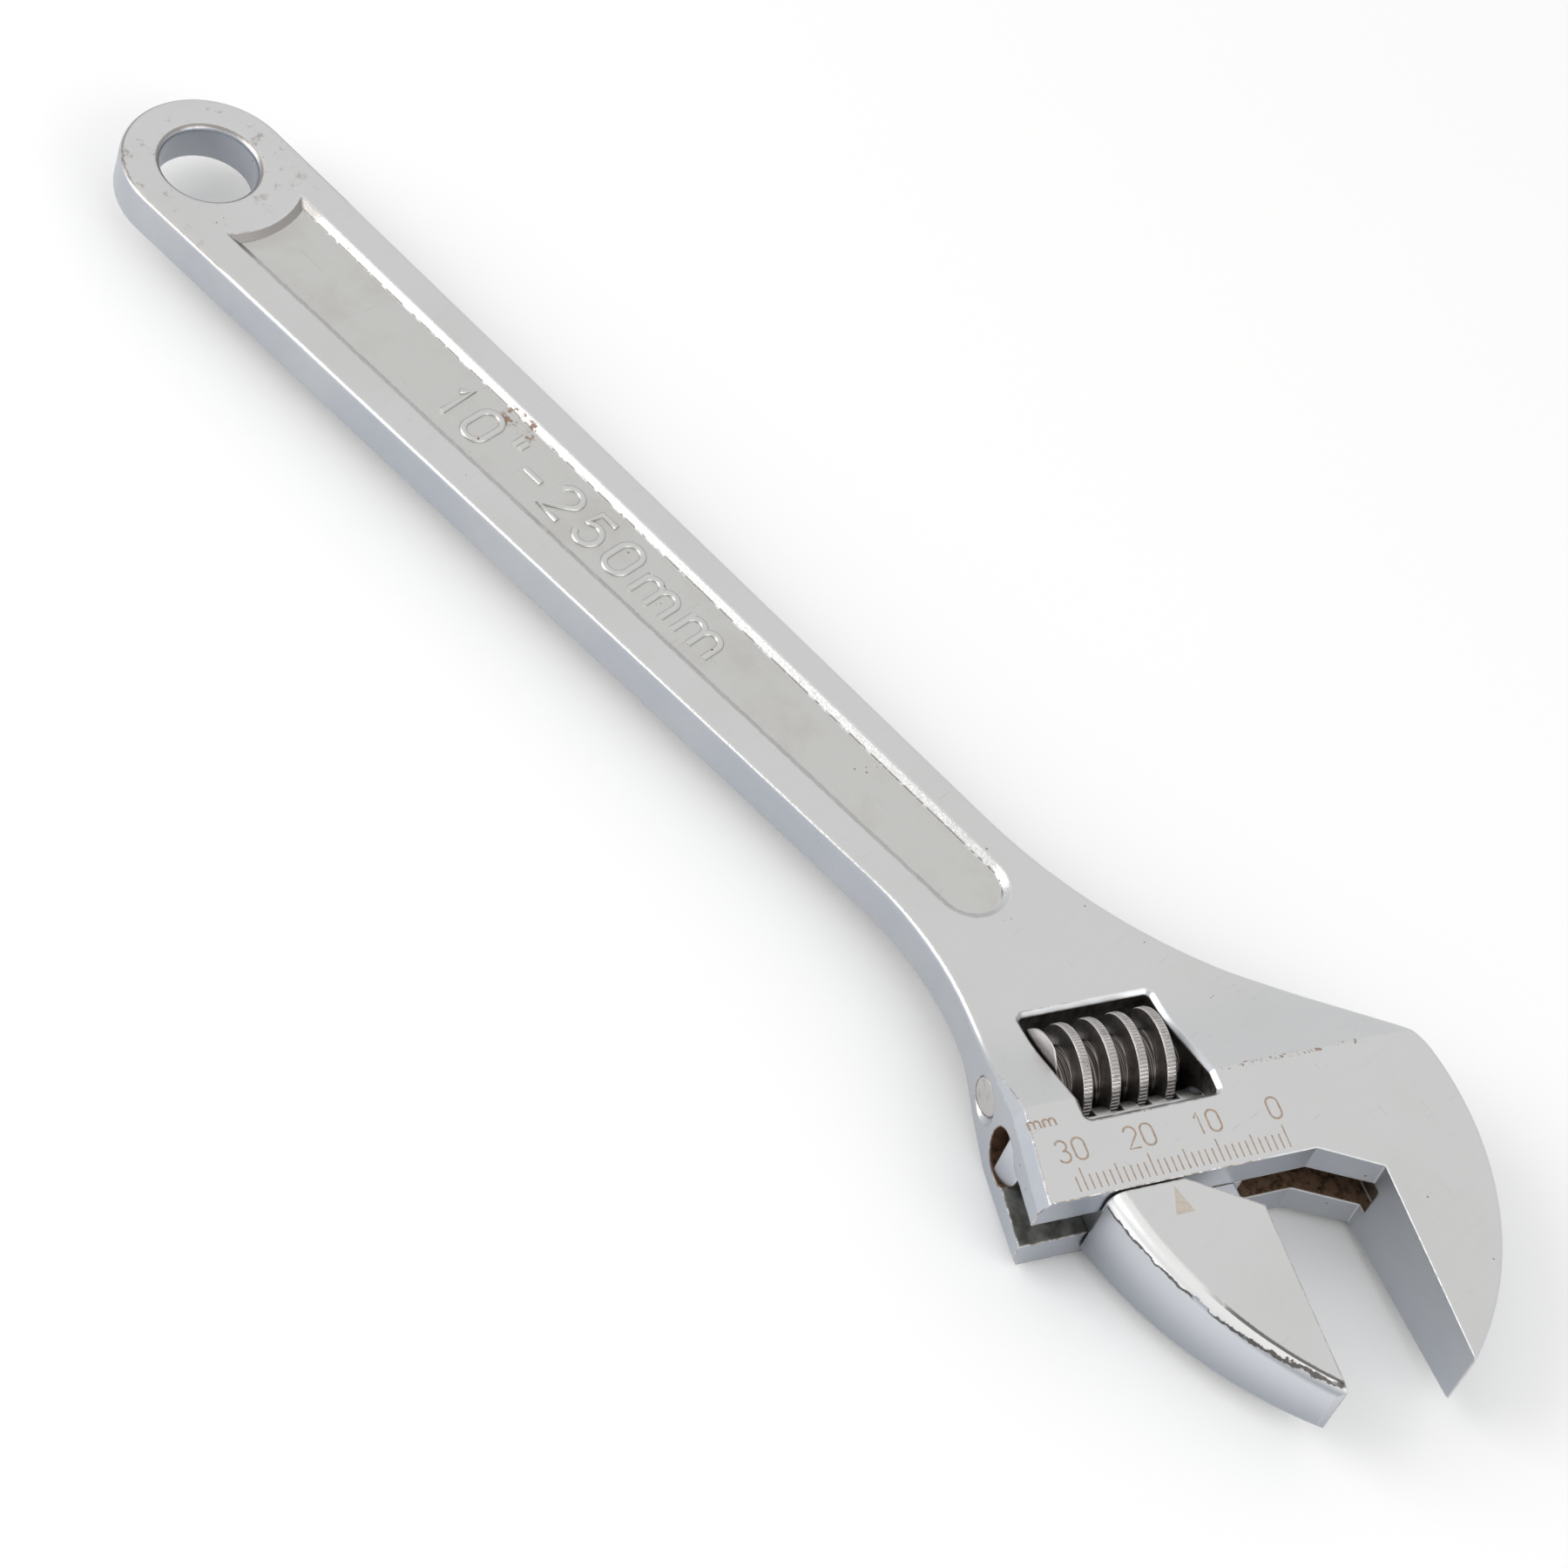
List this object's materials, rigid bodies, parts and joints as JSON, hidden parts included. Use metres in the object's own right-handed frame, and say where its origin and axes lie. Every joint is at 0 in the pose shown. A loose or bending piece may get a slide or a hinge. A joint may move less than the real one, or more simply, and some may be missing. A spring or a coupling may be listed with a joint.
{
  "type": "adjustable wrench",
  "caption": "Chrome-plated adjustable open-end wrench with an angled head, a sliding jaw driven by a thumb knurl, a graduated cheek and a hang hole.",
  "frame": {"origin": "centre of the hang hole at mid thickness", "axes": "+X along the handle from the hang hole to the head, +Y toward the fixed jaw, +Z out of the graduated broad face"},
  "size_m": [0.2545, 0.0623, 0.0164],
  "materials": {
    "body_chrome": "satin chrome plate over forged steel, with brighter edges, fine scratches and small rust specks",
    "jaw_chrome": "satin chrome plate with a bright rounded back",
    "knurl_steel": "turned steel with finely serrated crests and darker polished grooves",
    "pin_steel": "turned steel, slightly rough on its end",
    "spring_steel": "dull spring wire"
  },
  "bodies": {
    "wrench": {"wrench_body": "body_chrome", "knurl_pin": "pin_steel", "knurl_spring": "spring_steel"},
    "jaw": {"movable_jaw": "jaw_chrome"},
    "knurl": {"knurl": "knurl_steel"}
  },
  "joints": [
    {"name": "knurl_spin", "type": "hinge", "parent": "wrench", "child": "knurl", "pos_m": [0.18142, -0.00581, 0], "axis": [0.4043, 0.9146, 0], "range_deg": [-954, 1621]},
    {"name": "jaw_slide", "type": "slide", "parent": "wrench", "child": "jaw", "axis": [0.4043, 0.9146, 0], "range_m": [-0.011, 0.0187]}
  ],
  "couplings": [
    {"joint": "knurl_spin", "follows": "jaw_slide", "rad_per_m": 1511.5}
  ]
}
